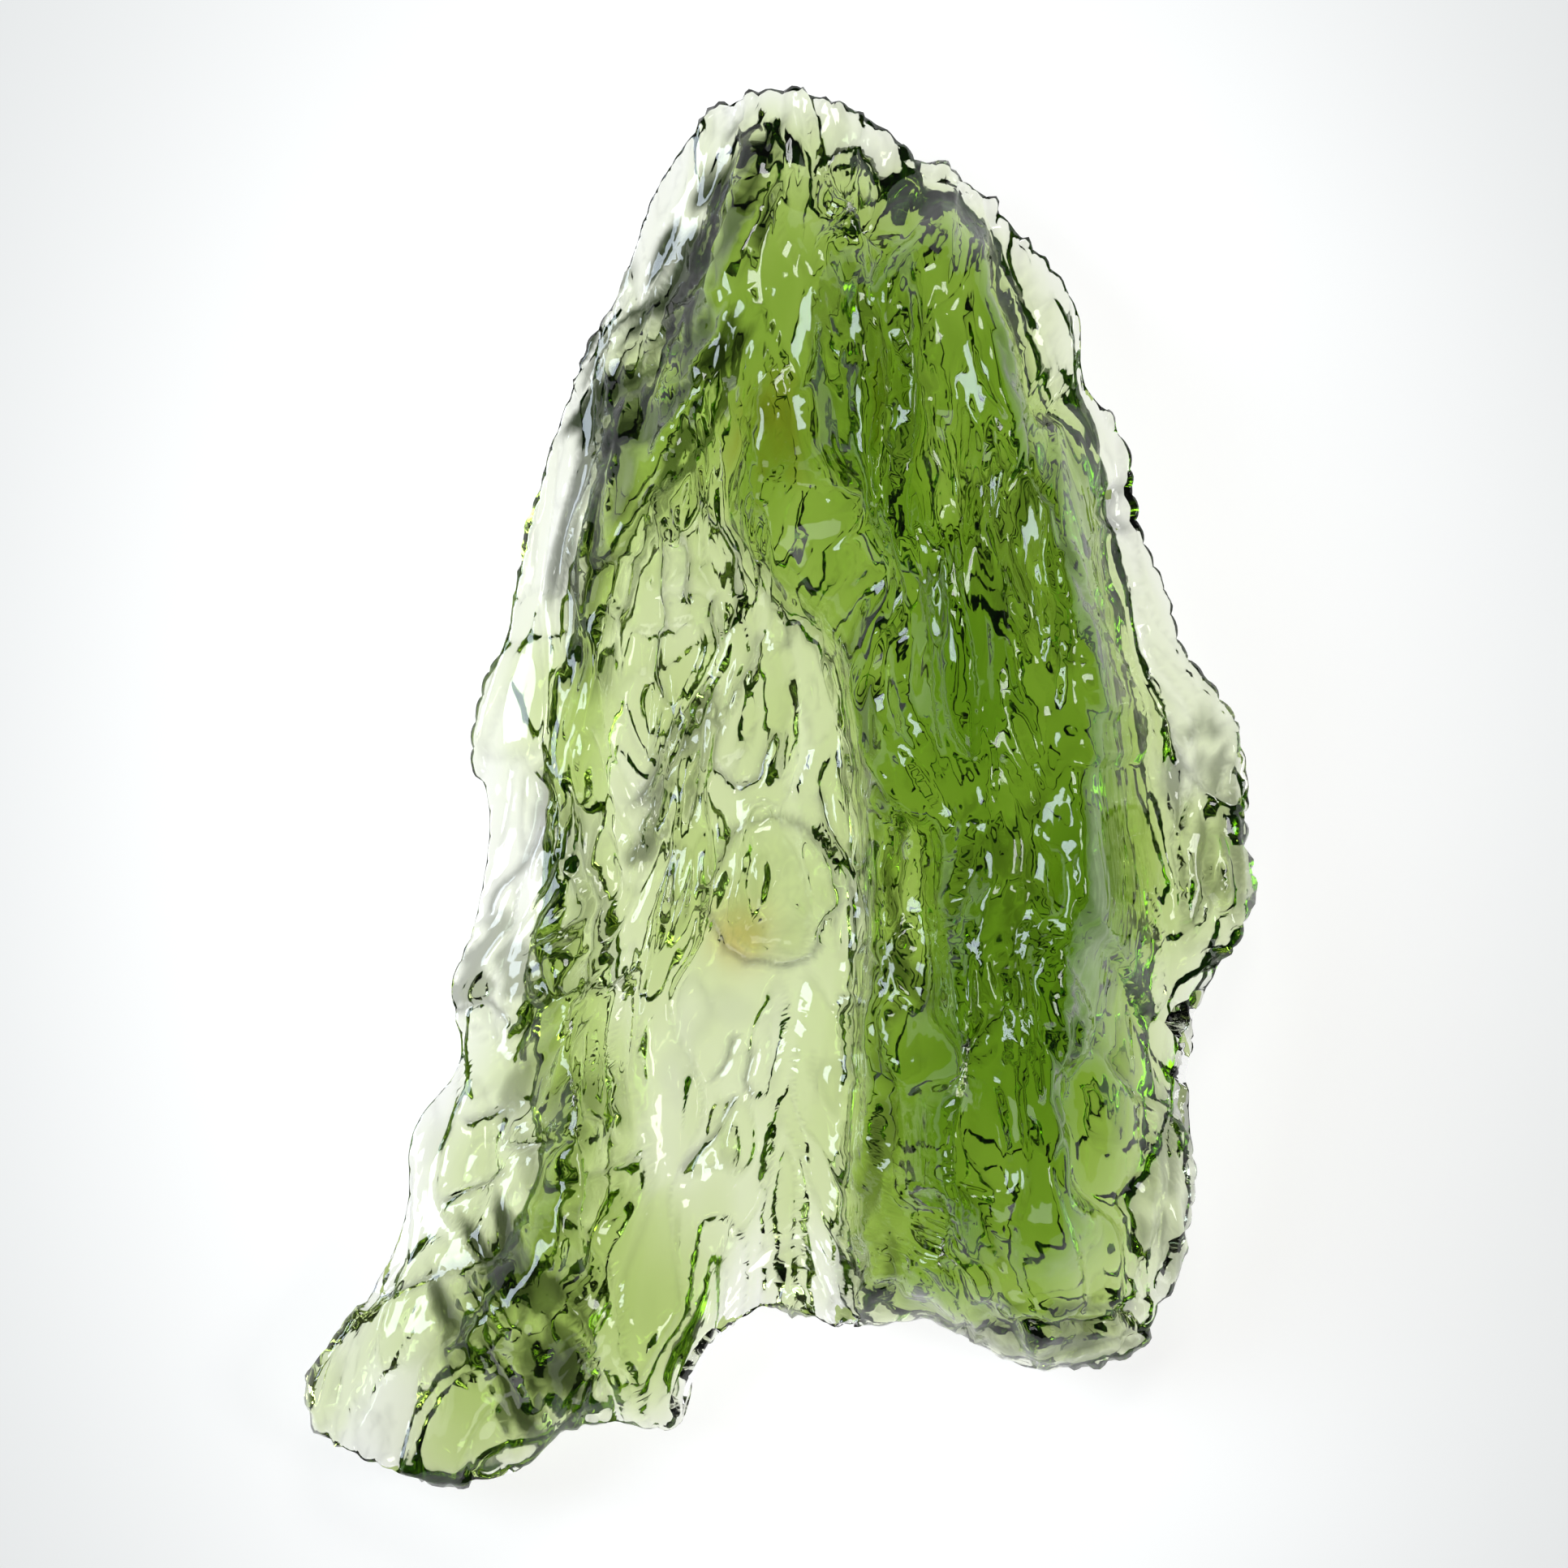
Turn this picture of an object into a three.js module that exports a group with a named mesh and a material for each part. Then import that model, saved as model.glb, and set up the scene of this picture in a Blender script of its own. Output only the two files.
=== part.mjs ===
// A moldavite: one shard of natural green glass, lying on its back.
// Millimetres, +Z up. +Y runs from the two feet to the crown, and the sculpted face looks up.
// The origin is under the middle of the stone, on the surface that it lies on.
import * as THREE from "three";
import { ImprovedNoise } from "three/addons/math/ImprovedNoise.js";

// Facets: each face is a disc of rings round MIDDLE, and both faces share the rim's corners.
const RINGS = 26;
const SECTORS = 6;
const MIDDLE = [-0.2, -2.3];
const EDGE_SAMPLES = 480;
// Corners crowd towards the wall along the window, so that it stays crisp, and less so near the edge.
const CROWDING = { share: 0.6, reach: 1.6 };
const EDGE_BAND = 2.5;

// The outline seen from above, clockwise from the crown.
const OUTLINE = [
  // crown
  [-1.3, 14.6], [-0.3, 15.0], [0.8, 14.8], [2.1, 14.3], [2.9, 13.5],
  // right shoulder
  [3.9, 13.1], [5.6, 11.3], [6.4, 10.2], [6.5, 8.7], [7.3, 7.5], [7.7, 5.3],
  // right flange
  [8.3, 4.1], [8.5, 3.0], [9.8, 1.2], [10.1, 0.0], [9.9, -1.6], [9.9, -3.0], [9.1, -4.6], [8.8, -6.9],
  [8.9, -9.1],
  // right foot
  [8.2, -11.0], [7.8, -12.0], [6.3, -12.5], [5.3, -12.7], [4.0, -12.0],
  // notch between the feet
  [3.2, -11.6], [1.2, -11.8], [0.5, -11.3], [-0.2, -11.1], [-0.8, -11.5], [-1.7, -12.6], [-2.3, -14.0],
  // left foot
  [-2.9, -13.9], [-3.8, -13.7], [-4.7, -13.9], [-5.6, -14.8], [-6.3, -15.0], [-8.9, -14.7], [-10.0, -13.7],
  [-10.1, -13.0], [-8.9, -11.0],
  // left flange
  [-8.1, -9.1], [-8.0, -7.5], [-6.9, -5.8], [-7.2, -4.5], [-6.7, -3.2], [-6.3, -0.7], [-6.6, 1.0],
  [-5.8, 3.7], [-5.4, 5.4], [-4.7, 8.1], [-4.0, 9.8], [-3.5, 10.5], [-2.9, 12.5], [-2.2, 13.7],
];

// Lines of the glass's flow that run down the face, left to right. Each point is [x, y, height].
const FACE_LINES = [
  // inner edge of the thin left flange
  [
    [-1.0, 14.1, 2.3], [-2.0, 11.5, 2.2], [-4.2, 9.3, 2.1], [-4.7, 5.5, 2.1], [-4.6, 2.9, 2.1],
    [-5.3, -1.0, 2.1], [-6.0, -5.0, 2.1], [-5.9, -9.0, 2.1], [-8.2, -11.5, 2.0], [-9.0, -14.5, 1.9],
  ],
  // top of the dark left bank
  [
    [-0.1, 14.1, 2.8], [-0.3, 11.5, 4.2], [-1.1, 9.3, 4.7], [-3.2, 5.5, 3.8], [-3.8, 2.9, 3.1],
    [-4.7, -1.0, 2.6], [-4.6, -5.0, 3.1], [-4.4, -9.0, 3.4], [-6.2, -11.5, 3.2], [-6.9, -14.5, 2.7],
  ],
  // left edge of the thin pale window
  [
    [0.3, 14.1, 2.9], [0.0, 11.5, 4.4], [-0.7, 9.3, 4.8], [-2.7, 5.5, 2.1], [-3.2, 2.9, 1.6],
    [-3.6, -1.0, 1.4], [-3.0, -5.0, 1.4], [-2.2, -9.0, 1.4], [-2.4, -11.5, 2.1], [-3.2, -14.5, 2.4],
  ],
  // foot of the wall that stands along the window
  [
    [0.6, 14.1, 3.0], [0.4, 11.5, 4.5], [-0.2, 9.3, 4.9], [-1.3, 5.5, 2.2], [0.9, 2.9, 1.6],
    [1.5, -1.0, 1.5], [1.5, -5.0, 1.4], [1.3, -9.0, 1.3], [1.0, -11.5, 1.3], [1.0, -14.5, 1.3],
  ],
  // top of that wall
  [
    [0.9, 14.1, 3.1], [0.8, 11.5, 4.7], [0.3, 9.3, 5.0], [-0.9, 5.5, 4.1], [1.3, 2.9, 3.7],
    [1.9, -1.0, 3.7], [1.9, -5.0, 3.7], [1.7, -9.0, 3.4], [1.4, -11.5, 2.7], [1.4, -14.5, 2.2],
  ],
  // left brow of the thick body
  [
    [1.4, 14.1, 3.1], [2.4, 11.5, 4.9], [2.6, 9.3, 5.6], [2.8, 5.5, 6.0], [3.8, 2.9, 6.3],
    [4.2, -1.0, 6.6], [4.0, -5.0, 6.6], [3.6, -9.0, 5.9], [3.6, -11.5, 4.2], [3.6, -14.5, 2.8],
  ],
  // right brow of the thick body
  [
    [1.9, 14.1, 3.0], [4.0, 11.5, 4.6], [4.6, 9.3, 5.2], [5.6, 5.5, 5.6], [6.0, 2.9, 6.0],
    [6.3, -1.0, 6.3], [6.3, -5.0, 6.3], [6.1, -9.0, 5.6], [6.0, -11.5, 4.0], [6.0, -14.5, 2.8],
  ],
  // inner edge of the thin right flange
  [
    [2.3, 14.1, 2.4], [5.0, 11.5, 2.3], [6.0, 9.3, 2.2], [7.4, 5.5, 2.0], [7.7, 2.9, 1.9],
    [8.1, -1.0, 1.8], [8.3, -5.0, 1.8], [8.1, -9.0, 1.8], [7.5, -11.5, 1.8], [7.5, -14.5, 1.8],
  ],
];
// How far each flow line rounds off: 0 leaves an edge along it, and 1 a flat tread.
const LINE_EASE = 0.65;

// The rim: its height at the origin, its slope along X and Y, its sway, and how far in its wedge reaches.
const RIM = {
  height: 1.6,
  slope: [-0.035, 0.03],
  sway: 0.4,
  swaySpacing: 3,
  seed: 0.5,
  reach: 1.2,
  bluntness: 1.6,
};
const LEAST_THICKNESS = 0.5;

// The back is a shallow belly inside a thin shelf, worn flat where the stone rests.
const BELLY = { at: [3.0, -2.0], reach: [6.0, 11.0], rise: 0.6, worn: 0.22 };
const SHELF = { drop: 0.4, start: 0.5, end: 2.0, rightFall: 2.4 };

// Flow ledges: long low steps that run down the stone. A step's rise takes up LEDGE_RAMP of its share.
const FACE_FLOW = { width: 1.7, length: 5.0, height: 1.5, ledge: 0.5, seed: 3.7 };
const BACK_FLOW = { width: 1.8, length: 5.0, height: 0.6, ledge: 0.3, seed: 11.3 };
const LEDGE_RAMP = 0.9;
// The face's ledges are full where it stands THICK_HEIGHT high, and only a share of that where it is thin.
const THIN_HEIGHT = 1.6;
const THICK_HEIGHT = 5.0;
const THIN_SHARE = 0.3;
const FLOW_LEAN = 0.12;

// A swirled pit under the crown, a blister in the window, and the scoops along the edges.
const SWIRL_PIT = { at: [1.3, 12.5], radius: 1.9, depth: 0.8, ring: 0.55, ringWidth: 0.3 };
const BLISTER = { at: [-0.3, -2.2], radius: 1.5, height: 0.5 };
const SCOOPS = [
  { at: [-6.6, -6.9], radius: 1.3, depth: 0.5 },
  { at: [-2.6, -8.0], radius: 1.2, depth: 0.7 },
  { at: [-8.0, -13.4], radius: 1.3, depth: 0.7 },
  { at: [-4.3, -12.6], radius: 1.1, depth: 0.7 },
  { at: [0.2, -10.3], radius: 1.4, depth: 0.5 },
  { at: [8.6, 0.2], radius: 1.2, depth: 0.6 },
  { at: [6.4, -10.6], radius: 1.2, depth: 0.8 },
  { at: [4.3, -7.6], radius: 1.5, depth: 0.8 },
  { at: [3.6, 6.6], radius: 1.2, depth: 0.7 },
  { at: [7.0, -4.6], radius: 1.5, depth: 0.7 },
];

const noise = new ImprovedNoise();
const { clamp, lerp, smoothstep } = THREE.MathUtils;

// A line down the face as x and height at any y.
function lineDown(points) {
  const upwards = [...points].reverse();
  const ys = upwards.map((point) => point[1]);
  const track = (index) => new THREE.CubicInterpolant(ys, upwards.map((point) => point[index]), 1);
  const xTrack = track(0);
  const heightTrack = track(2);
  const low = ys[0];
  const high = ys[ys.length - 1];
  return (y) => {
    const at = clamp(y, low, high);
    return { x: xTrack.evaluate(at)[0], height: heightTrack.evaluate(at)[0] };
  };
}

const faceLines = FACE_LINES.map(lineDown);
const [FLANGE_LEFT, BANK_TOP, WALL_FOOT, WALL_TOP, FLANGE_RIGHT] = [0, 1, 3, 4, 7];

// Height of the face between its flow lines.
function lineHeight(x, y) {
  const knots = faceLines.map((line) => line(y));
  const next = knots.findIndex((knot) => knot.x > x);
  if (next === 0) return knots[0].height;
  if (next < 0) return knots[knots.length - 1].height;
  const [left, right] = [knots[next - 1], knots[next]];
  const share = (x - left.x) / (right.x - left.x);
  return lerp(left.height, right.height, lerp(share, smoothstep(share, 0, 1), LINE_EASE));
}

// Long ledges: noise stretched along the flow and cut into steps.
function flowLedges(x, y, flow) {
  const across = (x - FLOW_LEAN * y) / flow.width;
  const along = y / flow.length;
  const swell = flow.height * noise.noise(across, along, flow.seed);
  const steps = swell / flow.ledge;
  const share = steps - Math.floor(steps);
  const rise = smoothstep(share, (1 - LEDGE_RAMP) / 2, (1 + LEDGE_RAMP) / 2);
  return flow.ledge * (Math.floor(steps) + rise);
}

// Distance from a feature's middle, as a share of its radius.
function shareOut(x, y, feature) {
  return Math.hypot(x - feature.at[0], y - feature.at[1]) / feature.radius;
}

function swirlPit(x, y) {
  const out = (shareOut(x, y, SWIRL_PIT) - SWIRL_PIT.ring) / SWIRL_PIT.ringWidth;
  return -SWIRL_PIT.depth * Math.exp(-out * out);
}

function blister(x, y) {
  return BLISTER.height * Math.sqrt(Math.max(0, 1 - shareOut(x, y, BLISTER) ** 2));
}

function scoops(x, y) {
  return SCOOPS.reduce((sum, scoop) => {
    const out = Math.min(1, shareOut(x, y, scoop));
    return sum - scoop.depth * (1 - out * out) ** 2;
  }, 0);
}

function rimHeight(x, y) {
  return RIM.height + RIM.slope[0] * x + RIM.slope[1] * y;
}

function backHeight(x, y, inset) {
  const across = (x - BELLY.at[0]) / BELLY.reach[0];
  const along = (y - BELLY.at[1]) / BELLY.reach[1];
  const belly = Math.hypot(across, along) * BELLY.rise - BELLY.worn;
  const shelf = rimHeight(x, y) - SHELF.drop;
  const [left, bank, right] = [FLANGE_LEFT, BANK_TOP, FLANGE_RIGHT].map((line) => faceLines[line](y).x);
  const inside = Math.min(
    smoothstep(x, left, bank),
    smoothstep(right - x, 0, SHELF.rightFall),
    smoothstep(inset, SHELF.start, SHELF.end),
  );
  return Math.max(0, lerp(shelf, belly, inside) + flowLedges(x, y, BACK_FLOW));
}

function faceHeight(x, y, inset) {
  const height = lineHeight(x, y);
  const thick = lerp(THIN_SHARE, 1, smoothstep(height, THIN_HEIGHT, THICK_HEIGHT));
  const carved = thick * flowLedges(x, y, FACE_FLOW) + swirlPit(x, y) + blister(x, y) + scoops(x, y);
  return Math.max(height + carved, backHeight(x, y, inset) + LEAST_THICKNESS);
}

// Both faces leave the rim as a blunt wedge.
function wedgeFromRim(inset) {
  return 1 - (1 - Math.min(1, inset / RIM.reach)) ** RIM.bluntness;
}

// Where a corner goes once it crowds towards the wall.
function crowded(x, y, inset) {
  const wall = (faceLines[WALL_FOOT](y).x + faceLines[WALL_TOP](y).x) / 2;
  const away = x - wall;
  const pull = CROWDING.share * Math.exp(-((away / CROWDING.reach) ** 2));
  return x - away * pull * smoothstep(inset, 0, EDGE_BAND);
}

// The corners of one ring of a face, with the rim's height beside them and their distance in from the edge.
function ringPlaces(outline, edge, ring) {
  const count = Math.max(1, SECTORS * ring);
  const insetAt = (x, y) => Math.min(...edge.map((point) => Math.hypot(point.x - x, point.y - y)));
  return Array.from({ length: count }, (_, i) => {
    const end = outline.getPointAt(i / count);
    const y = lerp(MIDDLE[1], end.y, ring / RINGS);
    const evenX = lerp(MIDDLE[0], end.x, ring / RINGS);
    const x = crowded(evenX, y, insetAt(evenX, y));
    const sway = noise.noise(end.x / RIM.swaySpacing, end.y / RIM.swaySpacing, RIM.seed);
    return { x, y, rim: rimHeight(end.x, end.y) + RIM.sway * sway, inset: insetAt(x, y) };
  });
}

function faceCorner({ x, y, rim, inset }) {
  return [x, y, lerp(rim, faceHeight(x, y, inset), wedgeFromRim(inset))];
}

function backCorner({ x, y, rim, inset }) {
  return [x, y, lerp(rim, backHeight(x, y, inset), wedgeFromRim(inset))];
}

// Triangles between one ring of corners and the next, counter-clockwise from above.
function ringTriangles(inner, outer, ring) {
  const triangles = [];
  for (let sector = 0; sector < SECTORS; sector++) {
    for (let i = 0; i < ring; i++) {
      const near = outer[sector * ring + i];
      const far = outer[(sector * ring + i + 1) % outer.length];
      const start = inner[(sector * (ring - 1) + i) % inner.length];
      triangles.push([near, far, start]);
      if (i < ring - 1) {
        const end = inner[(sector * (ring - 1) + i + 1) % inner.length];
        triangles.push([start, far, end]);
      }
    }
  }
  return triangles;
}

function stoneGeometry() {
  const clockwise = OUTLINE.map(([x, y]) => new THREE.Vector3(x, y, 0));
  const outline = new THREE.CatmullRomCurve3(clockwise.reverse(), true, "centripetal");
  const edge = outline.getSpacedPoints(EDGE_SAMPLES);
  const corners = [];
  const add = (corner) => corners.push(...corner) / corner.length - 1;
  const faceRings = [];
  const backRings = [];
  for (let ring = 0; ring < RINGS; ring++) {
    const places = ringPlaces(outline, edge, ring);
    faceRings.push(places.map((place) => add(faceCorner(place))));
    backRings.push(places.map((place) => add(backCorner(place))));
  }
  const rim = ringPlaces(outline, edge, RINGS).map((place) => add([place.x, place.y, place.rim]));
  faceRings.push(rim);
  backRings.push(rim);
  const index = [];
  for (let ring = 1; ring <= RINGS; ring++) {
    for (const triangle of ringTriangles(faceRings[ring - 1], faceRings[ring], ring)) {
      index.push(...triangle);
    }
    for (const triangle of ringTriangles(backRings[ring - 1], backRings[ring], ring)) {
      index.push(...triangle.reverse());
    }
  }
  const geometry = new THREE.BufferGeometry();
  geometry.setAttribute("position", new THREE.Float32BufferAttribute(corners, 3));
  geometry.setIndex(index);
  return centred(geometry);
}

// Puts the middle of the stone's box over the origin.
function centred(geometry) {
  geometry.computeBoundingBox();
  const middle = geometry.boundingBox.getCenter(new THREE.Vector3());
  geometry.translate(-middle.x, -middle.y, 0);
  geometry.computeVertexNormals();
  return geometry;
}

// Bottle-green natural glass with an etched gloss.
const greenGlass = new THREE.MeshStandardMaterial({ color: 0x7fa04a, roughness: 0.08, metalness: 0 });

const stone = new THREE.Mesh(stoneGeometry(), greenGlass);
stone.name = "moldavite";

const part = new THREE.Group();
part.add(stone);

export default part;
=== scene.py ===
"""A moldavite on a pale floor: the etched natural glass, its soft studio light and a camera above it."""

import bmesh
import bpy
import numpy as np
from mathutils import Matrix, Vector
from mathutils.bvhtree import BVHTree


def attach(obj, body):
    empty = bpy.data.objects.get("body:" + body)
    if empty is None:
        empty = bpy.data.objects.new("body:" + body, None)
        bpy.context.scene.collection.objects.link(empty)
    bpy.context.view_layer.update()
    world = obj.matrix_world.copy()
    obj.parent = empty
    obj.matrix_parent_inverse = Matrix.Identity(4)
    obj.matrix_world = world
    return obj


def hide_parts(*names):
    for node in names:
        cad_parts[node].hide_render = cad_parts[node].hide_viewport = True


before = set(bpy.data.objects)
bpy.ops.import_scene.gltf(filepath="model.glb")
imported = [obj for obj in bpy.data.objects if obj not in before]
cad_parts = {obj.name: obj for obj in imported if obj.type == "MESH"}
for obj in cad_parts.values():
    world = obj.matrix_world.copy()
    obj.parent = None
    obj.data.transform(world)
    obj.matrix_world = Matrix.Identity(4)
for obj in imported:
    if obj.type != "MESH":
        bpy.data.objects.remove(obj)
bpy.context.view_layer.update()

MM = 0.001

# Picture: the photograph's frame, and how many of its pixels the stone's 30 mm take up.
PICTURE_PX = 1932
STONE_LENGTH_MM = 30.0
STONE_LENGTH_PX = 1733
STONE_MIDDLE_PX = (963.5, 966.5)
CAMERA_HEIGHT_MM = 420.0
SENSOR_MM = 36.0
CLIP_START_MM = 10.0
RIM_HEIGHT_MM = 1.6

# Floor and light.
FLOOR_HALF_MM = 600.0
FLOOR_DROP_MM = 0.05
FLOOR_COLOUR = "#90908c"
FLOOR_ROUGHNESS = 0.9
# The floor glows though it is no lamp: painted light, brightest under the stone, that also shines up through
# it.
# The glow under the stone fades to the open floor's between these shares of its half width and length.
FLOOR_GLOW = dict(under=0.95, open=0.5, start=0.3, end=2.4, half_mm=(10.1, 15.0))
ROOM_COLOUR = "#8a9088"
ROOM_STRENGTH = 0.2
WHITE = "#ffffff"
COOL_WHITE = "#e2efff"
SOFTBOXES = [
    dict(name="left_softbox", place_mm=(-380, 120, 300), size_mm=(260, 260), watts=2.4, colour=COOL_WHITE),
    dict(name="right_softbox", place_mm=(380, -40, 320), size_mm=(140, 140), watts=0.6, colour=WHITE),
    dict(name="far_softbox", place_mm=(40, 420, 320), size_mm=(200, 120), watts=0.8, colour=WHITE),
    dict(name="near_softbox", place_mm=(0, -420, 300), size_mm=(320, 200), watts=0.5, colour=WHITE),
]

# Glass mesh: two subdivisions make the solid's facets fine enough for etched lines.
SUBDIVISIONS = 2
WELD_MM = 0.001
# Swells: how many before they repeat, and what brings them to about -1 to 1.
LATTICE = 64
SWELL_GAIN = 1.5
# An etched place goes no deeper than this share of the glass behind it, which is measured from just inside.
DEEPEST_SHARE = 0.33
RAY_START_MM = 0.01

# The flow fans out downwards from a point above the crown.
FAN_APEX_MM = 32.0
FAN_MIDDLE_MM = 0.9

# Etching: each layer's width across the flow, length along it, height and step, in mm, and the share of a
# step that its riser takes up.
FACE_LEDGES = dict(width=1.1, length=4.0, height=0.4, step=0.18, ramp=0.3, seed=5)
BACK_LEDGES = dict(width=1.2, length=3.6, height=0.6, step=0.24, ramp=0.25, seed=9)
FACE_GRAIN = dict(width=0.5, length=3.2, height=0.045, seed=21)
BACK_GRAIN = dict(width=0.6, length=2.6, height=0.07, seed=23)
# The flow sways sideways: the height is how far, in mm.
WARP = dict(width=2.2, length=3.0, height=0.5, seed=31)
# Striations too fine for the mesh. Real ones are hundredths of a millimetre apart, drawn coarser to show.
STRIATIONS = dict(width=0.22, length=1.3, height=0.012)
# Furrows and ridges are narrowed to sharp lines by this power.
SHARPNESS = 3
# The back is etched this much deeper where it comes within this height of the floor, in mm.
WORN = dict(depth=0.3, height=0.6)

# Rough patches: middle and reach in mm, turn in degrees from +Y towards +X, the ridges' size in mm, and how
# much dark soil their hollows hold, which partly paints the shade that tilted, etched facets show.
PATCHES = [
    # two halves of the diagonal bank under the crown, its narrow end, and the strip beside the left flange
    dict(at=(-1.4, 11.9), reach=(1.0, 2.6), turn=28, width=0.4, length=2.4, height=0.34, soil_and_shade=0.97),
    dict(at=(-2.8, 9.0), reach=(1.5, 2.6), turn=36, width=0.4, length=2.4, height=0.34, soil_and_shade=0.97),
    dict(at=(-4.0, 5.4), reach=(0.8, 3.4), turn=10, width=0.45, length=2.4, height=0.32, soil_and_shade=0.76),
    dict(at=(-4.9, -1.2), reach=(0.6, 2.6), turn=-6, width=0.5, length=1.8, height=0.24, soil_and_shade=0.45),
    # diagonal patch in the window
    dict(at=(-2.2, 0.4), reach=(0.6, 2.2), turn=30, width=0.4, length=1.4, height=0.34, soil_and_shade=0.7),
    # pebbled blister low in the window
    dict(at=(-0.2, -2.3), reach=(1.2, 1.3), turn=0, width=0.4, length=0.45, height=0.12, soil_and_shade=0.1),
    # knot on the left edge, and the grey facets under it
    dict(at=(-6.0, -4.2), reach=(1.3, 1.4), turn=60, width=0.5, length=1.2, height=0.2, soil_and_shade=0.5),
    dict(at=(-4.8, -7.4), reach=(1.1, 2.2), turn=0, width=0.9, length=1.6, height=0.3, soil_and_shade=0.52),
    # dark inner half of the left foot
    dict(at=(-5.2, -11.4), reach=(1.8, 2.6), turn=-22, width=0.5, length=3.0, height=0.3, soil_and_shade=0.92),
    # foot of the wall along the window
    dict(at=(2.0, -2.0), reach=(0.6, 5.0), turn=-4, width=0.45, length=1.6, height=0.3, soil_and_shade=0.75),
    dict(at=(1.9, -9.4), reach=(0.5, 2.6), turn=2, width=0.4, length=1.8, height=0.3, soil_and_shade=0.75),
    # layered end of the right foot
    dict(at=(5.4, -11.6), reach=(0.8, 2.6), turn=82, width=0.35, length=1.8, height=0.3, soil_and_shade=0.76),
    # wavy right flange
    dict(at=(9.0, -0.6), reach=(1.0, 2.8), turn=0, width=0.4, length=1.6, height=0.18, soil_and_shade=0.58),
    dict(at=(8.4, -8.2), reach=(0.7, 3.0), turn=6, width=0.4, length=1.6, height=0.16, soil_and_shade=0.52),
    # dark streaks of the thick body
    dict(at=(2.3, 8.6), reach=(0.9, 2.6), turn=-4, width=0.5, length=2.2, height=0.3, soil_and_shade=0.48),
    dict(at=(5.0, 5.0), reach=(0.9, 3.0), turn=-16, width=0.6, length=2.0, height=0.3, soil_and_shade=0.45),
    dict(at=(4.6, -2.6), reach=(1.4, 2.4), turn=8, width=0.6, length=1.6, height=0.26, soil_and_shade=0.5),
]
PATCH_SEED = 50
# A patch's ridges fade out at this many times its reach, over this span.
PATCH_FADE = dict(end=1.2, span=0.5)
# The soil and painted shade end in streaks: how far they reach past or short of a patch, and how soft their
# ends are.
RAGGED = 0.4
RAGGED_EDGE = 0.25
# Soil and painted shade fill a furrow that is this share of its full depth or more.
SOIL_AND_SHADE_DEPTH = 0.28

# The pit under the crown is swirled: its groove winds outwards.
SWIRL = dict(at=(1.6, 12.8), radius=1.9, pitch=0.75, depth=0.45, fade=0.5)

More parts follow.
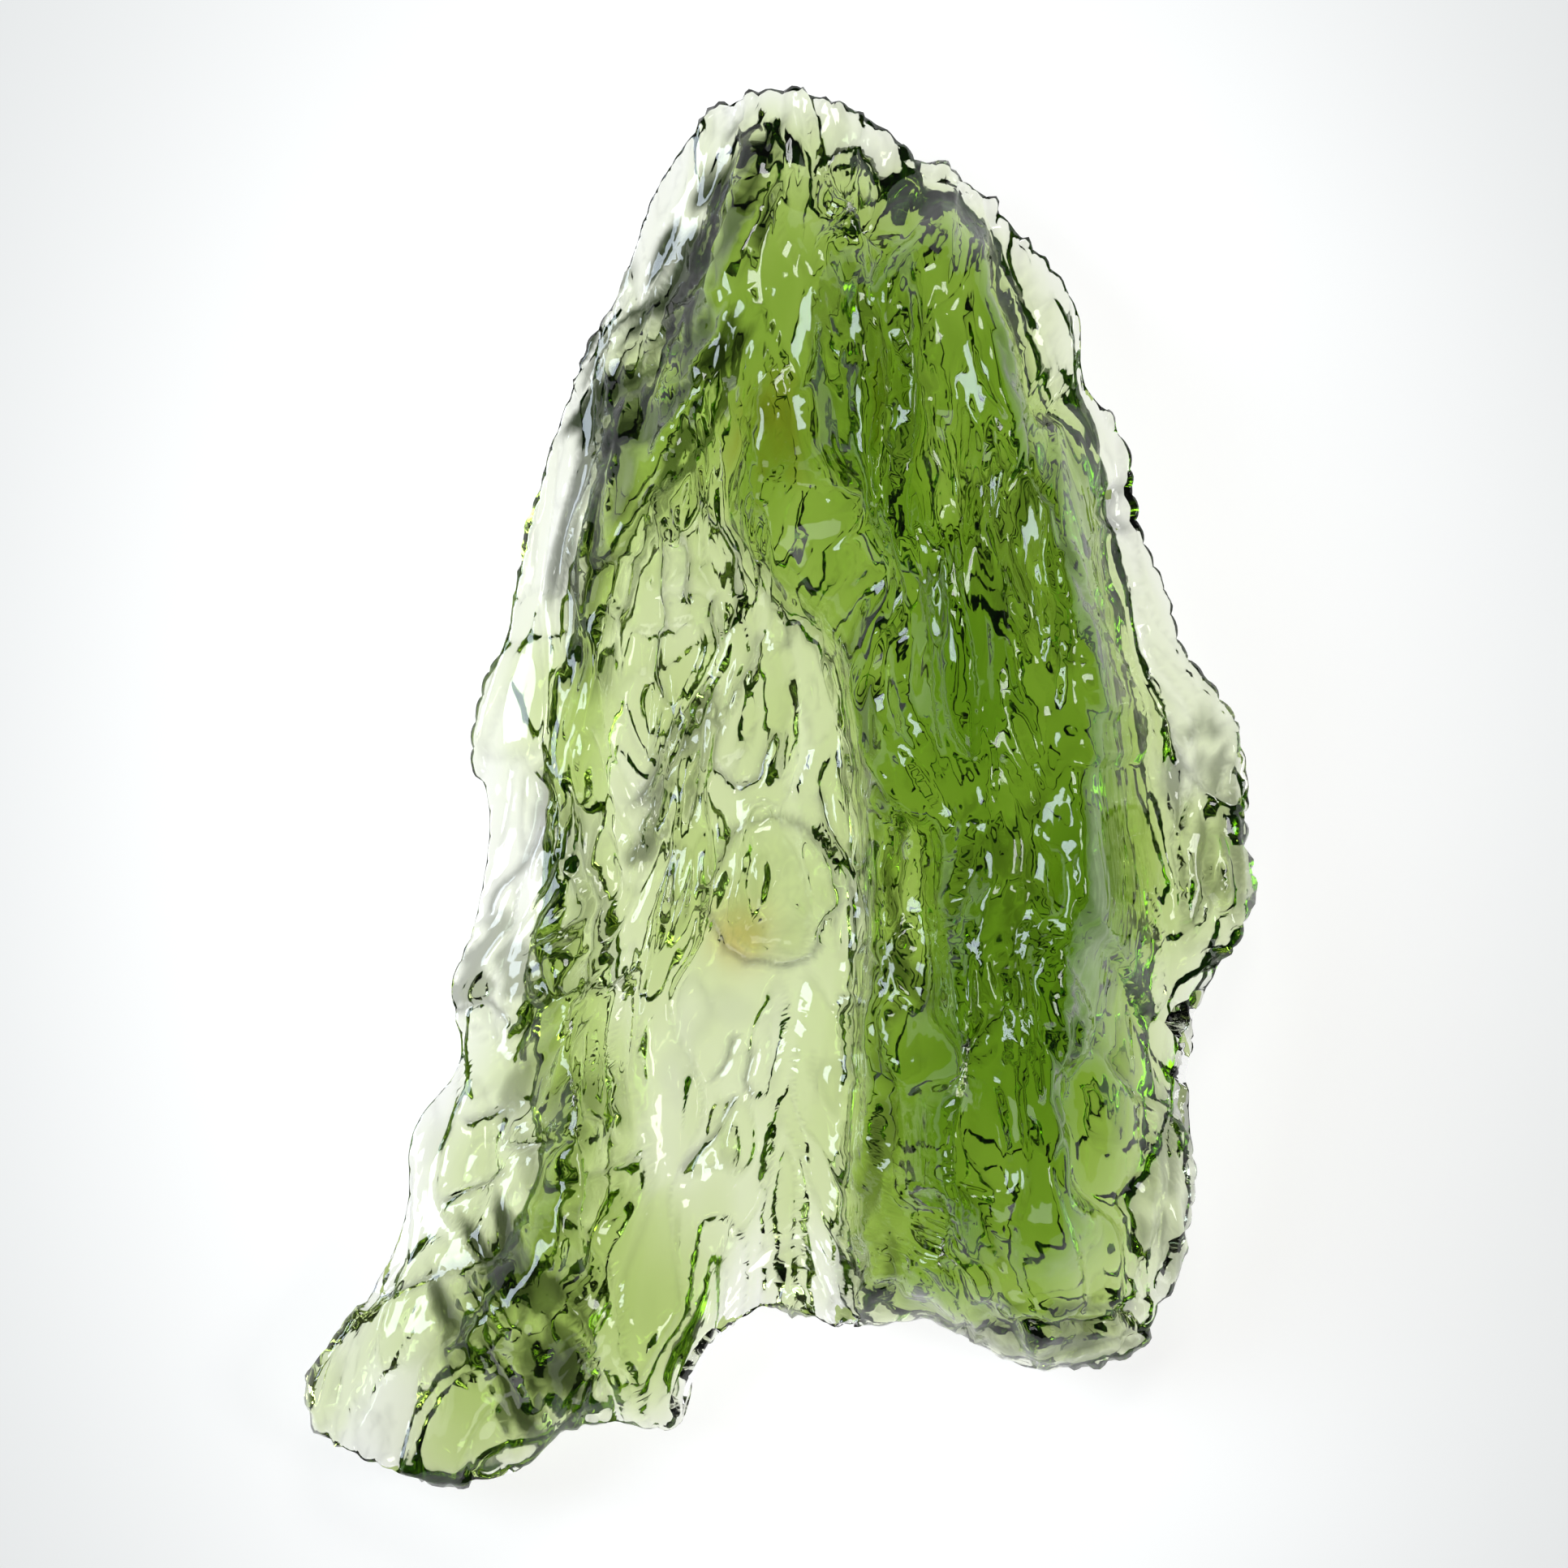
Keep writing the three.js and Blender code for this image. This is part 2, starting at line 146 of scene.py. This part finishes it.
# Etched lines: half width and depth in mm, then the points each runs through.
FINE_LINE = (0.1, 0.16)
LINE = (0.11, 0.28)
BROAD_LINE = (0.18, 0.42)
LINES = [
    # slits and loops in the top of the window
    (LINE, [(-2.7, 6.2), (-2.6, 4.9), (-2.4, 3.7), (-2.4, 3.3)]),
    (LINE, [(-2.4, 6.1), (-2.1, 5.5), (-1.9, 4.0)]),
    (LINE, [(-1.9, 6.7), (-1.5, 5.6), (-1.1, 4.9), (-1.1, 4.1)]),
    (LINE, [(-2.6, 3.2), (-2.7, 2.7), (-2.4, 1.7)]),
    (FINE_LINE, [(-1.5, 4.0), (-1.6, 3.5), (-1.4, 2.9), (-1.1, 3.4), (-1.0, 4.1)]),
    (LINE, [(-0.6, 3.2), (-0.7, 2.5), (-1.2, 1.6)]),
    (FINE_LINE, [(0.1, 3.8), (0.0, 3.0)]),
    (LINE, [(-1.3, 5.2), (-0.5, 4.4), (0.4, 3.3), (1.1, 2.6)]),
    # slits, hooks and the ridge in the upper body
    (BROAD_LINE, [(1.9, 10.1), (1.9, 9.2), (2.1, 8.4)]),
    (LINE, [(2.4, 10.0), (2.7, 9.0), (2.7, 7.8), (2.8, 6.9)]),
    (LINE, [(1.9, 7.1), (2.4, 7.3), (2.7, 6.7), (2.5, 6.0), (2.4, 5.7)]),
    (BROAD_LINE, [(2.9, 4.3), (3.2, 4.4), (3.5, 3.9), (3.2, 3.2)]),
    (LINE, [(4.5, 9.5), (5.0, 8.5), (5.4, 7.2), (5.6, 6.2), (6.3, 3.9)]),
    (BROAD_LINE, [(7.2, 6.3), (7.0, 5.8), (7.3, 5.5)]),
    # hatching of the rough patch in the window
    (BROAD_LINE, [(-2.3, 1.2), (-3.1, -0.3)]),
    (BROAD_LINE, [(-2.0, 1.0), (-2.7, -0.6)]),
    (LINE, [(-1.6, 1.3), (-2.0, -0.8)]),
    (LINE, [(-2.7, 0.4), (-3.2, -1.4)]),
    (LINE, [(-2.2, -1.4), (-2.4, -2.6)]),
    # tongue above the blister, and the lines round the blister
    (LINE, [(-1.3, 1.2), (-1.4, 0.4), (-1.0, -0.1), (-0.4, 0.2), (-0.2, 1.0)]),
    (LINE, [(0.8, -0.2), (1.0, -0.9), (1.3, -1.5), (1.5, -2.7), (1.7, -3.5), (2.1, -4.2)]),
    (LINE, [(0.4, -0.9), (1.1, -1.8), (1.2, -2.5), (0.7, -3.4)]),
    (FINE_LINE, [(1.2, -2.3), (1.0, -1.4), (0.4, -0.9), (-0.3, -0.7), (-1.0, -1.0), (-1.5, -1.8),
                 (-1.6, -2.6), (-1.3, -3.4), (-0.7, -3.8), (0.1, -3.8), (0.8, -3.4)]),
    # contour lines on the left
    (LINE, [(-5.2, 0.0), (-5.1, -0.7), (-5.6, -1.8), (-6.2, -2.7)]),
    (LINE, [(-4.8, -1.4), (-4.3, -2.4), (-4.4, -2.9), (-5.2, -3.3)]),
    (BROAD_LINE, [(-4.3, -0.5), (-4.1, -1.9), (-3.9, -3.3), (-3.9, -4.2)]),
    (LINE, [(-5.1, -3.8), (-5.0, -4.5), (-4.4, -4.4), (-3.4, -4.3)]),
    (LINE, [(-7.1, -4.9), (-6.2, -4.6), (-5.9, -5.0)]),
    (LINE, [(-5.7, -7.7), (-4.3, -7.4), (-3.8, -7.0)]),
    (LINE, [(-3.9, -8.4), (-3.4, -8.2), (-3.1, -7.9)]),
    (LINE, [(-7.1, -8.9), (-6.5, -8.7), (-6.0, -8.3)]),
    (LINE, [(-6.7, -7.2), (-5.9, -7.0)]),
    (LINE, [(-8.5, -10.9), (-6.9, -10.4), (-5.9, -9.9)]),
    # squiggles low in the window
    (FINE_LINE, [(-1.5, -6.3), (-1.2, -5.9), (-1.0, -5.4)]),
    (FINE_LINE, [(-0.6, -6.7), (-0.8, -6.3), (-0.7, -5.7)]),
    (FINE_LINE, [(-2.1, -8.2), (-1.6, -7.6), (-1.2, -7.3), (-1.0, -6.8)]),
    # lines down the wall, and the crack at its lower end
    (LINE, [(1.3, -4.5), (1.6, -4.9), (1.6, -6.3)]),
    (LINE, [(2.0, -3.5), (2.1, -5.2), (2.4, -7.0), (2.3, -8.0)]),
    (LINE, [(1.3, -9.5), (1.3, -11.7)]),
    (LINE, [(1.5, -8.1), (1.6, -9.1), (1.4, -10.9)]),
    # facets and fanned streaks of the lower body
    (BROAD_LINE, [(3.7, -5.4), (4.2, -5.5), (4.7, -4.9)]),
    (LINE, [(3.5, -6.6), (3.7, -7.9), (4.1, -8.7), (4.7, -10.1)]),
    (BROAD_LINE, [(4.9, -4.0), (5.1, -4.7)]),
    (LINE, [(6.0, -4.7), (8.1, -6.8)]),
    (LINE, [(6.0, -4.9), (6.5, -7.0)]),
    (LINE, [(5.7, -5.2), (6.0, -7.3)]),
    # layers of the right foot, and the inner edge of the right flange
    (BROAD_LINE, [(4.2, -11.2), (4.7, -11.7), (5.1, -11.5), (6.7, -11.5), (7.5, -11.1)]),
    (BROAD_LINE, [(2.1, -10.8), (2.8, -11.2), (3.9, -11.6)]),
    (LINE, [(8.9, -4.5), (9.0, -5.7), (8.2, -7.3), (7.5, -9.1)]),
    (LINE, [(8.2, 1.4), (9.0, -0.1), (9.9, -0.7)]),
]
LINE_WOBBLE = dict(width=0.9, height=0.14, seed=71)
# The face shows its lines and ridges by this share, and the back in full.
FACE_LINE_SHARE = 0.5

# Broad shallow troughs that thin the body to lime: half width and depth in mm, cut into the face only.
TROUGH = (0.5, 0.55)
HOLLOW = (0.9, 0.95)
TROUGHS = [
    (TROUGH, [(3.4, 10.2), (3.4, 8.0), (3.3, 5.6)]),
    (TROUGH, [(2.3, 9.6), (2.2, 6.6)]),
    (TROUGH, [(5.0, 10.8), (5.9, 8.4)]),
    (TROUGH, [(2.7, -1.2), (2.8, -4.6), (3.2, -6.0)]),
    (TROUGH, [(4.2, -6.0), (4.0, -8.2)]),
    (TROUGH, [(3.0, -9.2), (3.6, -10.4)]),
    (TROUGH, [(6.4, -6.2), (6.9, -8.8)]),
    # the swirled pit, and the grey-green facet over the top of the window
    (HOLLOW, [(1.2, 12.9), (1.9, 12.4)]),
    (HOLLOW, [(0.6, 6.0), (1.6, 4.2)]),
]
# Thin flange: its edge is pressed this much of the way to the rim's height, and less and less inwards.
FLANGE = dict(share=0.55, half_width=1.3)
FLANGE_EDGES = [
    # down the left side from the crown, and below the knot
    [(-0.3, 14.8), (-1.3, 14.4), (-2.9, 11.9), (-3.5, 9.9), (-4.8, 7.8),
     (-5.3, 5.2), (-6.3, 1.9), (-6.1, -1.1)],
    [(-6.8, -5.6), (-7.9, -7.4), (-7.9, -8.9)],
    # down the right side from the crown
    [(-0.3, 14.8), (1.6, 14.3), (2.9, 13.5), (5.1, 12.3), (6.4, 10.3), (6.6, 8.6), (7.5, 6.9), (8.2, 4.5)],
]

# Soil left in the etched hollows, which also paints their shade: its share in lines, in the swirl and on
# risers.
LINE_SOIL_AND_SHADE = 0.55
SWIRL_SOIL_AND_SHADE = 0.3
RISER_SOIL_AND_SHADE = 0.2
# Paler and darker streaks of the glass, as wide and long as this in mm, and iron stains at these places.
STREAKS = dict(width=0.8, length=5.0, seed=81)
STAINS = [dict(at=(-0.1, 7.7), reach=0.8), dict(at=(-0.9, -3.2), reach=0.7)]
# The rim is etched by this share, up to where the glass faces up or down this much.
# On the sides the face's etching turns into the back's, from this much facing up to as much facing down.
RIM_ETCH = 0.35
RIM_NORMAL = 0.5
SIDE_NORMAL = 0.35

# Tektite glass: a usual index, a gloss that etching dulls a little, and what each metre takes from the light.
GLASS = dict(ior=1.49, roughness=0.05, absorption="#d3e482", density=1000.0)
STREAK_COLOUR = "#f4f6ea"
STAIN_COLOUR = "#ead2a4"
# Dark soil colour, also used as painted shade in lines, hollows, on risers and on tilted facets.
SOIL_AND_SHADE_COLOUR = "#2c381f"


def linear(hex_colour):
    """An sRGB hex colour as linear red, green, blue and alpha."""
    parts = [int(hex_colour[i:i + 2], 16) / 255 for i in (1, 3, 5)]
    light = [c / 12.92 if c <= 0.04045 else ((c + 0.055) / 1.055) ** 2.4 for c in parts]
    return (*light, 1.0)


def node(tree, kind, links=None, **settings):
    """Adds a node with its settings, which name properties or inputs, and its links, from input to socket."""
    made = tree.nodes.new(kind)
    for name, value in settings.items():
        if hasattr(made, name):
            setattr(made, name, value)
        else:
            made.inputs[name.replace("_", " ")].default_value = value
    for name, socket in (links or {}).items():
        tree.links.new(socket, made.inputs[name])
    return made


def smooth(share):
    """Eases 0 to 1, flat at both ends."""
    share = np.clip(share, 0.0, 1.0)
    return share * share * (3.0 - 2.0 * share)


def swell(across, along, seed):
    """Gradient noise from about -1 to 1, one swell to a unit."""
    turn = np.random.default_rng(seed).uniform(0.0, 2.0 * np.pi, (LATTICE, LATTICE))
    column = np.floor(across).astype(int)
    row = np.floor(along).astype(int)
    u = across - column
    v = along - row

    def corner(i, j):
        angle = turn[(column + i) % LATTICE, (row + j) % LATTICE]
        return np.cos(angle) * (u - i) + np.sin(angle) * (v - j)

    low = corner(0, 0) + smooth(u) * (corner(1, 0) - corner(0, 0))
    high = corner(0, 1) + smooth(u) * (corner(1, 1) - corner(0, 1))
    return SWELL_GAIN * (low + smooth(v) * (high - low))


def ledges(across, along, width, length, height, step, ramp, seed):
    """Swells cut into treads with steep risers, and a mask that is 1 halfway up each riser."""
    level = height * swell(across / width, along / length, seed) / step
    tread = np.floor(level)
    rise = smooth((level - tread - 0.5) / ramp + 0.5)
    return step * (tread + rise), 4.0 * rise * (1.0 - rise)


def grain(across, along, width, length, height, seed):
    """Fine sharp-edged furrows."""
    return -height * (1.0 - np.abs(swell(across / width, along / length, seed))) ** SHARPNESS


def rough_patches(x, y):
    """Sharp ridges that run along each patch and fade out at its edge, and the soil and painted shade between
    them.
    """
    height = np.zeros_like(x)
    soil_and_shade = np.zeros_like(x)
    for count, patch in enumerate(PATCHES):
        turn = np.radians(patch["turn"])
        dx = x - patch["at"][0]
        dy = y - patch["at"][1]
        across = dx * np.cos(turn) - dy * np.sin(turn)
        along = dx * np.sin(turn) + dy * np.cos(turn)
        out = np.hypot(across / patch["reach"][0], along / patch["reach"][1])
        inside = smooth((PATCH_FADE["end"] - out) / PATCH_FADE["span"])
        furrow = swell(across / patch["width"], along / patch["length"], PATCH_SEED + count)
        ridge = 1.0 - np.abs(furrow)
        height += patch["height"] * inside * ridge ** SHARPNESS
        ragged = smooth((1.0 - out + RAGGED * furrow) / RAGGED_EDGE)
        soil_and_shade = np.maximum(soil_and_shade, patch["soil_and_shade"] * ragged * smooth(np.abs(furrow) / SOIL_AND_SHADE_DEPTH))
    return height, soil_and_shade


def swirl(x, y):
    """A groove that winds outwards from the pit's middle."""
    dx = x - SWIRL["at"][0]
    dy = y - SWIRL["at"][1]
    out = np.hypot(dx, dy)
    wave = 0.5 + 0.5 * np.cos(np.arctan2(dy, dx) - 2.0 * np.pi * out / SWIRL["pitch"])
    inside = smooth((1.0 - out / SWIRL["radius"]) / SWIRL["fade"]) * smooth(out / SWIRL["pitch"])
    return -SWIRL["depth"] * inside * wave ** SHARPNESS


def away_from(x, y, start, end):
    """Distance of each point from a straight piece of line."""
    run = np.subtract(end, start)
    share = np.clip(((x - start[0]) * run[0] + (y - start[1]) * run[1]) / run.dot(run), 0.0, 1.0)
    return np.hypot(x - start[0] - share * run[0], y - start[1] - share * run[1])


def etched_lines(x, y, lines):
    """Grooves along lines that wobble a little, and a mask of them."""
    spacing = LINE_WOBBLE["width"]
    wobbled_x = x + LINE_WOBBLE["height"] * swell(x / spacing, y / spacing, LINE_WOBBLE["seed"])
    wobbled_y = y + LINE_WOBBLE["height"] * swell(x / spacing, y / spacing, LINE_WOBBLE["seed"] + 1)
    depth = np.zeros_like(x)
    mask = np.zeros_like(x)
    for (half_width, line_depth), places in lines:
        pieces = zip(places[:-1], places[1:])
        away = np.min([away_from(wobbled_x, wobbled_y, *piece) for piece in pieces], axis=0)
        groove = np.exp(-((away / half_width) ** 2))
        depth = np.minimum(depth, -line_depth * groove)
        mask = np.maximum(mask, groove)
    return depth, mask


def flange(x, y):
    """How near each point is to the thin flange's edge, from 0 to 1."""
    pieces = [piece for edge in FLANGE_EDGES for piece in zip(edge[:-1], edge[1:])]
    away = np.min([away_from(x, y, *piece) for piece in pieces], axis=0)
    return np.exp(-((away / FLANGE["half_width"]) ** 2))


def stained(x, y):
    """Where iron has stained the glass, from 0 to 1."""
    return sum(np.exp(-np.hypot(x - stain["at"][0], y - stain["at"][1]) ** 2 / stain["reach"] ** 2)
               for stain in STAINS)


def etched(points, normals):
    """How far each point stands out along its normal, its soil and painted shade, streak and stain, and its
    striations.
    """
    x, y, z = points.T
    spread = (FAN_APEX_MM - y) / FAN_APEX_MM
    across = (x - FAN_MIDDLE_MM) / spread
    across = across + WARP["height"] * swell(x / WARP["width"], y / WARP["length"], WARP["seed"])
    lines, line_mask = etched_lines(x, y, LINES)
    lines = lines + swirl(x, y)
    ridges, patch_soil_and_shade = rough_patches(x, y)
    face, face_risers = ledges(across, y, **FACE_LEDGES)
    back, back_risers = ledges(across, y, **BACK_LEDGES)
    face = face + grain(across, y, **FACE_GRAIN) + FACE_LINE_SHARE * (lines + ridges)
    face = face + etched_lines(x, y, TROUGHS)[0]
    back = back + grain(across, y, **BACK_GRAIN) + lines - ridges
    back = back - WORN["depth"] * smooth(1.0 - z / WORN["height"])
    upward = smooth((normals[:, 2] + SIDE_NORMAL) / (2.0 * SIDE_NORMAL))
    flat = smooth(np.abs(normals[:, 2]) / RIM_NORMAL)
    outward = (RIM_ETCH + (1.0 - RIM_ETCH) * flat) * (upward * face + (1.0 - upward) * back)
    risers = upward * face_risers + (1.0 - upward) * back_risers
    swirled = -swirl(x, y) / SWIRL["depth"]
    # Steep risers, the swirl and the lines are darkened: painted shade in hollows and on steps, as well as
    # soil.
    riser_soil_and_shade = RISER_SOIL_AND_SHADE * flat * risers
    soil_and_shade = np.max([LINE_SOIL_AND_SHADE * line_mask, SWIRL_SOIL_AND_SHADE * swirled, patch_soil_and_shade, riser_soil_and_shade], axis=0)
    streak = 0.5 + 0.5 * swell(across / STREAKS["width"], y / STREAKS["length"], STREAKS["seed"])
    width = STRIATIONS["width"]
    striations = np.stack([across / width, y / STRIATIONS["length"], z / width], axis=1)
    return outward, {"soil_and_shade": soil_and_shade, "streak": np.clip(streak, 0.0, 1.0), "stain": stained(x, y)}, striations


def mesh_arrays(mesh):
    """A mesh's points in mm and its normals."""
    points = np.empty(len(mesh.vertices) * 3)
    normals = np.empty(len(mesh.vertices) * 3)
    mesh.vertices.foreach_get("co", points)
    mesh.vertex_normals.foreach_get("vector", normals)
    return points.reshape(-1, 3) / MM, normals.reshape(-1, 3)


def thickness(mesh, points, normals):
    """How much glass lies behind each point, in mm."""
    corners = [Vector(point) for point in points]
    tree = BVHTree.FromPolygons(corners, [face.vertices[:] for face in mesh.polygons])
    depths = np.zeros(len(points))
    for i, inward in enumerate(-normals):
        inward = Vector(inward)
        reached = tree.ray_cast(corners[i] + RAY_START_MM * inward, inward)
        depths[i] = reached[3] or 0.0
    return depths


def welded_copy(mesh):
    """A copy of a mesh whose facets share their corners."""
    shell = bmesh.new()
    shell.from_mesh(mesh)
    bmesh.ops.remove_doubles(shell, verts=shell.verts, dist=WELD_MM * MM)
    copy = bpy.data.meshes.new("moldavite_glass")
    shell.to_mesh(copy)
    shell.free()
    return copy


def etched_mesh(solid_mesh):
    """The solid's mesh, subdivided and then etched."""
    rough = bpy.data.objects.new("rough_stone", welded_copy(solid_mesh))
    bpy.context.collection.objects.link(rough)
    finer = rough.modifiers.new("finer", "SUBSURF")
    finer.levels = SUBDIVISIONS
    finer.render_levels = SUBDIVISIONS
    fine = bpy.data.meshes.new_from_object(rough.evaluated_get(bpy.context.evaluated_depsgraph_get()))
    bpy.data.objects.remove(rough)
    points, normals = mesh_arrays(fine)
    outward, masks, striations = etched(points, normals)
    outward = np.maximum(outward, -DEEPEST_SHARE * thickness(fine, points, normals))
    points = points + normals * outward[:, None]
    x, y, z = points.T
    points[:, 2] = z + FLANGE["share"] * flange(x, y) * (RIM_HEIGHT_MM - z)
    for name, values in masks.items():
        fine.attributes.new(name, "FLOAT", "POINT").data.foreach_set("value", values)
    fine.attributes.new("striations", "FLOAT_VECTOR", "POINT").data.foreach_set("vector", striations.ravel())
    points[:, 2] = np.maximum(points[:, 2], 0.0)
    fine.vertices.foreach_set("co", (points * MM).ravel())
    fine.update()
    fine.shade_smooth()
    fine.materials.clear()
    return fine


def etched_stone():
    """The stone, in place of its plain solid."""
    stone = bpy.data.objects.new("moldavite_glass", etched_mesh(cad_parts["moldavite"].data))
    bpy.context.collection.objects.link(stone)
    stone.data.materials.append(etched_tektite_glass())
    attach(stone, "root")
    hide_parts("moldavite")


def etched_tektite_glass():
    """Natural tektite glass, etched by acid soil: clear, bottle green in depth, with a wet gloss, and
    darkened in its hollows by soil and painted shade.
    """
    material = bpy.data.materials.new("etched_tektite_glass")
    material.use_nodes = True
    tree = material.node_tree
    tree.nodes.clear()
    streak = node(tree, "ShaderNodeAttribute", attribute_name="streak").outputs["Fac"]
    stain = node(tree, "ShaderNodeAttribute", attribute_name="stain").outputs["Fac"]
    soil_and_shade = node(tree, "ShaderNodeAttribute", attribute_name="soil_and_shade").outputs["Fac"]
    glass = node(tree, "ShaderNodeMixRGB", {"Fac": streak},
                 Color1=linear(STREAK_COLOUR), Color2=linear(WHITE))
    amber = node(tree, "ShaderNodeMixRGB", {"Color1": glass.outputs[0], "Fac": stain},
                 Color2=linear(STAIN_COLOUR))
    # Soil colour mixed in where the mask says: real soil in hollows, and painted shade in lines, on risers
    # and on tilted facets.
    soiled_and_shaded = node(tree, "ShaderNodeMixRGB", {"Color1": amber.outputs[0], "Fac": soil_and_shade},
                 Color2=linear(SOIL_AND_SHADE_COLOUR))
    flow = node(tree, "ShaderNodeAttribute", attribute_name="striations").outputs["Vector"]
    furrows = node(tree, "ShaderNodeTexNoise", {"Vector": flow}, Scale=1.0, Detail=0.0)
    etch = node(tree, "ShaderNodeBump", {"Height": furrows.outputs[0]}, Distance=STRIATIONS["height"] * MM)
    surface = node(tree, "ShaderNodeBsdfPrincipled",
                   {"Base Color": soiled_and_shaded.outputs[0], "Normal": etch.outputs[0]},
                   Roughness=GLASS["roughness"], IOR=GLASS["ior"], Transmission_Weight=1.0)
    depth = node(tree, "ShaderNodeVolumeAbsorption", Color=linear(GLASS["absorption"]),
                 Density=GLASS["density"])
    node(tree, "ShaderNodeOutputMaterial", {"Surface": surface.outputs[0], "Volume": depth.outputs[0]})
    return material


def pale_floor():
    """A matt pale floor, glowing as opal acrylic lit from below would: painted light, brightest under the
    stone.
    """
    half = FLOOR_HALF_MM * MM
    corners = [(-half, -half), (half, -half), (half, half), (-half, half)]
    mesh = bpy.data.meshes.new("floor")
    mesh.from_pydata([(x, y, -FLOOR_DROP_MM * MM) for x, y in corners], [], [(0, 1, 2, 3)])
    floor = bpy.data.objects.new("floor", mesh)
    bpy.context.collection.objects.link(floor)
    material = bpy.data.materials.new("glowing_floor_painted_light")
    material.use_nodes = True
    tree = material.node_tree
    tree.nodes.clear()
    place = node(tree, "ShaderNodeTexCoord").outputs["Object"]
    stretch = (1.0 / (FLOOR_GLOW["half_mm"][0] * MM), 1.0 / (FLOOR_GLOW["half_mm"][1] * MM), 1.0)
    share = node(tree, "ShaderNodeMapping", {"Vector": place}, Scale=stretch)
    out = node(tree, "ShaderNodeVectorMath", {"Vector": share.outputs[0]}, operation="LENGTH")
    glow = node(tree, "ShaderNodeMapRange", {"Value": out.outputs["Value"]}, interpolation_type="SMOOTHSTEP",
                From_Min=FLOOR_GLOW["start"], From_Max=FLOOR_GLOW["end"],
                To_Min=FLOOR_GLOW["under"], To_Max=FLOOR_GLOW["open"])
    surface = node(tree, "ShaderNodeBsdfPrincipled", {"Emission Strength": glow.outputs[0]},
                   Base_Color=linear(FLOOR_COLOUR), Roughness=FLOOR_ROUGHNESS,
                   Emission_Color=linear(WHITE))
    node(tree, "ShaderNodeOutputMaterial", {"Surface": surface.outputs[0]})
    mesh.materials.append(material)


def softbox(name, place_mm, size_mm, watts, colour):
    """A lamp with a flat face, turned to the stone."""
    light = bpy.data.lights.new(name, "AREA")
    light.shape = "RECTANGLE"
    light.size = size_mm[0] * MM
    light.size_y = size_mm[1] * MM
    light.energy = watts
    light.color = linear(colour)[:3]
    lamp = bpy.data.objects.new(name, light)
    lamp.location = Vector(place_mm) * MM
    lamp.rotation_euler = (-lamp.location).to_track_quat("-Z", "Y").to_euler()
    bpy.context.collection.objects.link(lamp)


def studio():
    """Softboxes all round, and a dim room."""
    for box in SOFTBOXES:
        softbox(**box)
    world = bpy.data.worlds.new("dim_room")
    world.use_nodes = True
    world.node_tree.nodes["Background"].inputs["Color"].default_value = linear(ROOM_COLOUR)
    world.node_tree.nodes["Background"].inputs["Strength"].default_value = ROOM_STRENGTH
    bpy.context.scene.world = world
    bpy.context.scene.view_settings.view_transform = "Standard"


def camera():
    """A camera straight above the stone, framed as the photograph is."""
    mm_per_px = STONE_LENGTH_MM / STONE_LENGTH_PX
    lens = bpy.data.cameras.new("camera")
    lens.sensor_width = SENSOR_MM
    lens.lens = SENSOR_MM * (CAMERA_HEIGHT_MM - RIM_HEIGHT_MM) / (PICTURE_PX * mm_per_px)
    lens.clip_start = CLIP_START_MM * MM
    viewer = bpy.data.objects.new("camera", lens)
    middle = PICTURE_PX / 2
    x = (middle - STONE_MIDDLE_PX[0]) * mm_per_px
    y = (STONE_MIDDLE_PX[1] - middle) * mm_per_px
    viewer.location = Vector((x, y, CAMERA_HEIGHT_MM)) * MM
    bpy.context.collection.objects.link(viewer)
    bpy.context.scene.camera = viewer


camera()
etched_stone()
pale_floor()
studio()
